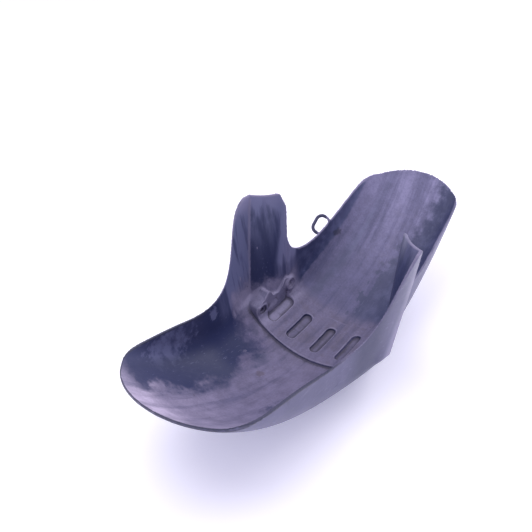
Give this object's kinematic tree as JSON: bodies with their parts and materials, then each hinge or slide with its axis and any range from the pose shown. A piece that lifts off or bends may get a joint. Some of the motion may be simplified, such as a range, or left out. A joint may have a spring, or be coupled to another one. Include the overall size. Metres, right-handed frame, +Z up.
{
  "type": "motorcycle front mudguard",
  "caption": "Moulded motorcycle front mudguard with a curved trough, an ear in front of each fork leg, a pocketed pad with bolt lugs and an oval hose eyelet.",
  "frame": {"origin": "on the ground, below the middle of the bounding box", "axes": "+X from the front tip to the rear end, +Y towards the side with the hose eyelet, +Z up with the guard lying crown down; on the motorcycle it is the other way up"},
  "size_m": [0.528, 0.2374, 0.179],
  "materials": {
    "mudguard_plastic": "satin dark slate plastic, dusty and scratched inside"
  },
  "bodies": {
    "root": {"mudguard": "mudguard_plastic"}
  },
  "joints": []
}
